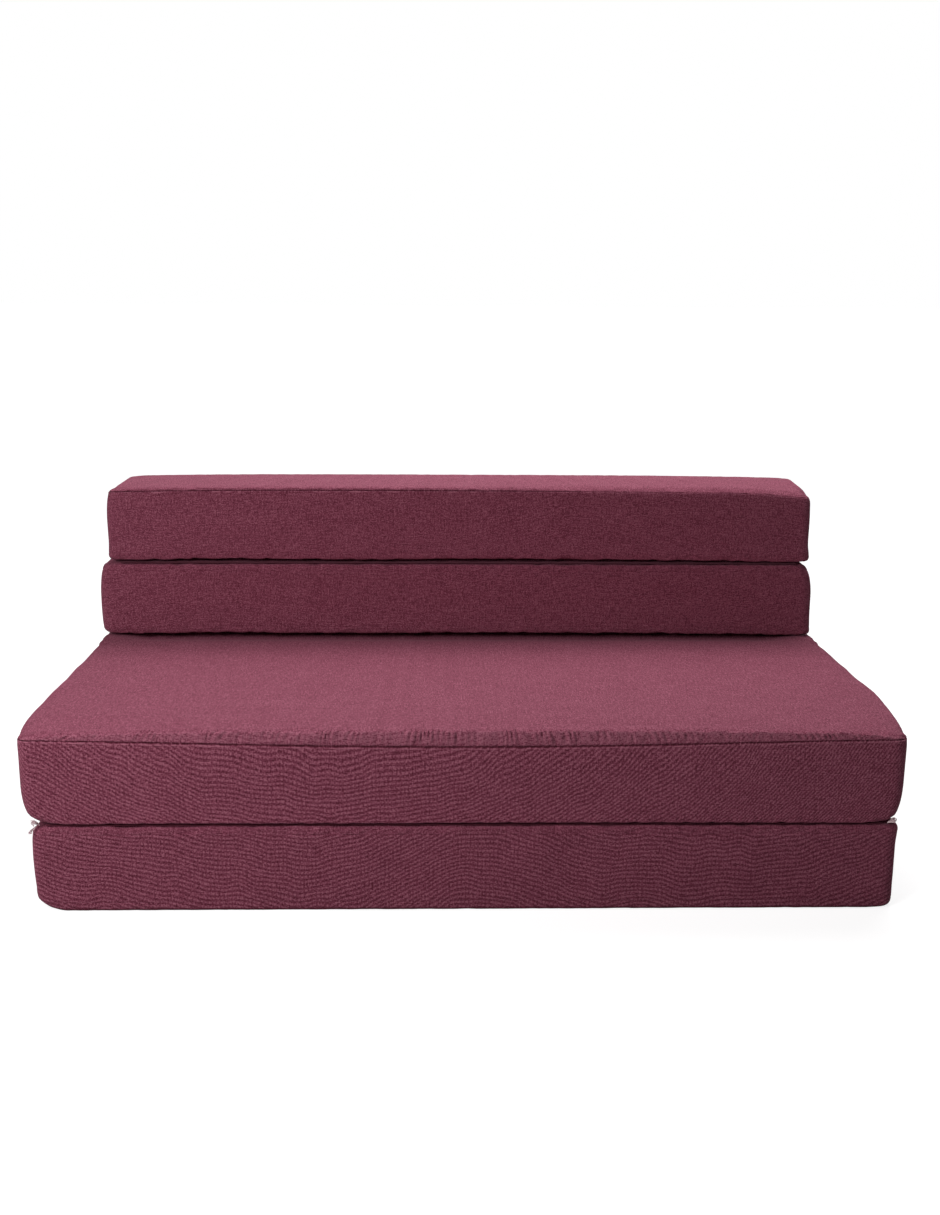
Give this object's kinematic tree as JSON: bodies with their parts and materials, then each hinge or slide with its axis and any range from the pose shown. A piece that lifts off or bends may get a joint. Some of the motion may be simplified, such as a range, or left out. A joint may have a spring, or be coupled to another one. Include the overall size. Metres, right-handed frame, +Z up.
{
  "type": "futon mattress",
  "caption": "Folding foam futon mattress: zipped cloth-covered blocks, hinged with cloth in a zig-zag, folded up as a low backed sofa or opened flat as a bed.",
  "frame": {"origin": "on the floor, under the middle of the folded mattress", "axes": "+X to the sitter's left, side to side (to the right as seen from the front); -Y is the front, where the sitter's legs are; +Z is up"},
  "size_m": [1.372, 0.7836, 0.5774],
  "materials": {
    "plum_cloth": "flat-woven plum polyester with a soft sheen",
    "foam": "open-cell polyurethane foam, cream",
    "zip_tape": "woven polyester tape",
    "zip_coil": "moulded nylon coil",
    "zip_metal": "die-cast zinc, dull nickel",
    "pale_thread": "pale overlock thread"
  },
  "bodies": {
    "base": {"base_foam": "foam", "base_cover_top": "plum_cloth", "base_cover_border": "plum_cloth", "base_cover_bottom": "plum_cloth", "base_zip_panel": "plum_cloth", "base_zip_tapes": "zip_tape", "base_zip_coil": "zip_coil", "base_zip_stops": "zip_metal", "front_hinge_strip": "plum_cloth", "front_hinge_thread_ends": "pale_thread"},
    "seat": {"seat_foam": "foam", "seat_cover_top": "plum_cloth", "seat_cover_border": "plum_cloth", "seat_cover_bottom": "plum_cloth", "seat_zip_panel": "plum_cloth", "seat_zip_tapes": "zip_tape", "seat_zip_coil": "zip_coil", "seat_zip_stops": "zip_metal", "rear_hinge_strip": "plum_cloth"},
    "lower_back": {"lower_back_foam": "foam", "lower_back_cover_top": "plum_cloth", "lower_back_cover_border": "plum_cloth", "lower_back_cover_bottom": "plum_cloth", "lower_back_zip_panel": "plum_cloth", "lower_back_zip_tapes": "zip_tape", "lower_back_zip_coil": "zip_coil", "lower_back_zip_stops": "zip_metal", "back_hinge_strip": "plum_cloth"},
    "upper_back": {"upper_back_foam": "foam", "upper_back_cover_top": "plum_cloth", "upper_back_cover_border": "plum_cloth", "upper_back_cover_bottom": "plum_cloth", "upper_back_zip_panel": "plum_cloth", "upper_back_zip_tapes": "zip_tape", "upper_back_zip_coil": "zip_coil", "upper_back_zip_stops": "zip_metal"},
    "base_slider": {"base_zip_slider": "zip_metal"},
    "base_pull": {"base_zip_pull": "zip_metal"},
    "seat_slider": {"seat_zip_slider": "zip_metal"},
    "seat_pull": {"seat_zip_pull": "zip_metal"},
    "lower_back_slider": {"lower_back_zip_slider": "zip_metal"},
    "lower_back_pull": {"lower_back_zip_pull": "zip_metal"},
    "upper_back_slider": {"upper_back_zip_slider": "zip_metal"},
    "upper_back_pull": {"upper_back_zip_pull": "zip_metal"}
  },
  "joints": [
    {"name": "seat_fold", "type": "hinge", "parent": "base", "child": "seat", "pos_m": [0, -0.3903, 0.1439], "axis": [1, 0, 0], "range_deg": [0, 180]},
    {"name": "back_fold", "type": "hinge", "parent": "seat", "child": "lower_back", "pos_m": [0, 0.3903, 0.2887], "axis": [-1, 0, 0], "range_deg": [0, 180]},
    {"name": "upper_back_fold", "type": "hinge", "parent": "lower_back", "child": "upper_back", "pos_m": [0, 0.2172, 0.4335], "axis": [1, 0, 0], "range_deg": [0, 180]},
    {"name": "base_zip", "type": "slide", "parent": "base", "child": "base_slider", "axis": [1, 0, 0], "range_m": [0, 1.1495]},
    {"name": "base_pull_swing", "type": "hinge", "parent": "base_slider", "child": "base_pull", "pos_m": [-0.57475, 0.38735, 0.0715], "axis": [0, 0, 1], "range_deg": [0, 180]},
    {"name": "seat_zip", "type": "slide", "parent": "seat", "child": "seat_slider", "axis": [1, 0, 0], "range_m": [0, 1.1495]},
    {"name": "seat_pull_swing", "type": "hinge", "parent": "seat_slider", "child": "seat_pull", "pos_m": [-0.57475, 0.38735, 0.2163], "axis": [0, 0, 1], "range_deg": [0, 180]},
    {"name": "lower_back_zip", "type": "slide", "parent": "lower_back", "child": "lower_back_slider", "axis": [1, 0, 0], "range_m": [0, 1.1495]},
    {"name": "lower_back_pull_swing", "type": "hinge", "parent": "lower_back_slider", "child": "lower_back_pull", "pos_m": [-0.57475, 0.38735, 0.3611], "axis": [0, 0, 1], "range_deg": [0, 180]},
    {"name": "upper_back_zip", "type": "slide", "parent": "upper_back", "child": "upper_back_slider", "axis": [1, 0, 0], "range_m": [0, 1.1495]},
    {"name": "upper_back_pull_swing", "type": "hinge", "parent": "upper_back_slider", "child": "upper_back_pull", "pos_m": [-0.57475, 0.38735, 0.5059], "axis": [0, 0, 1], "range_deg": [0, 180]}
  ]
}
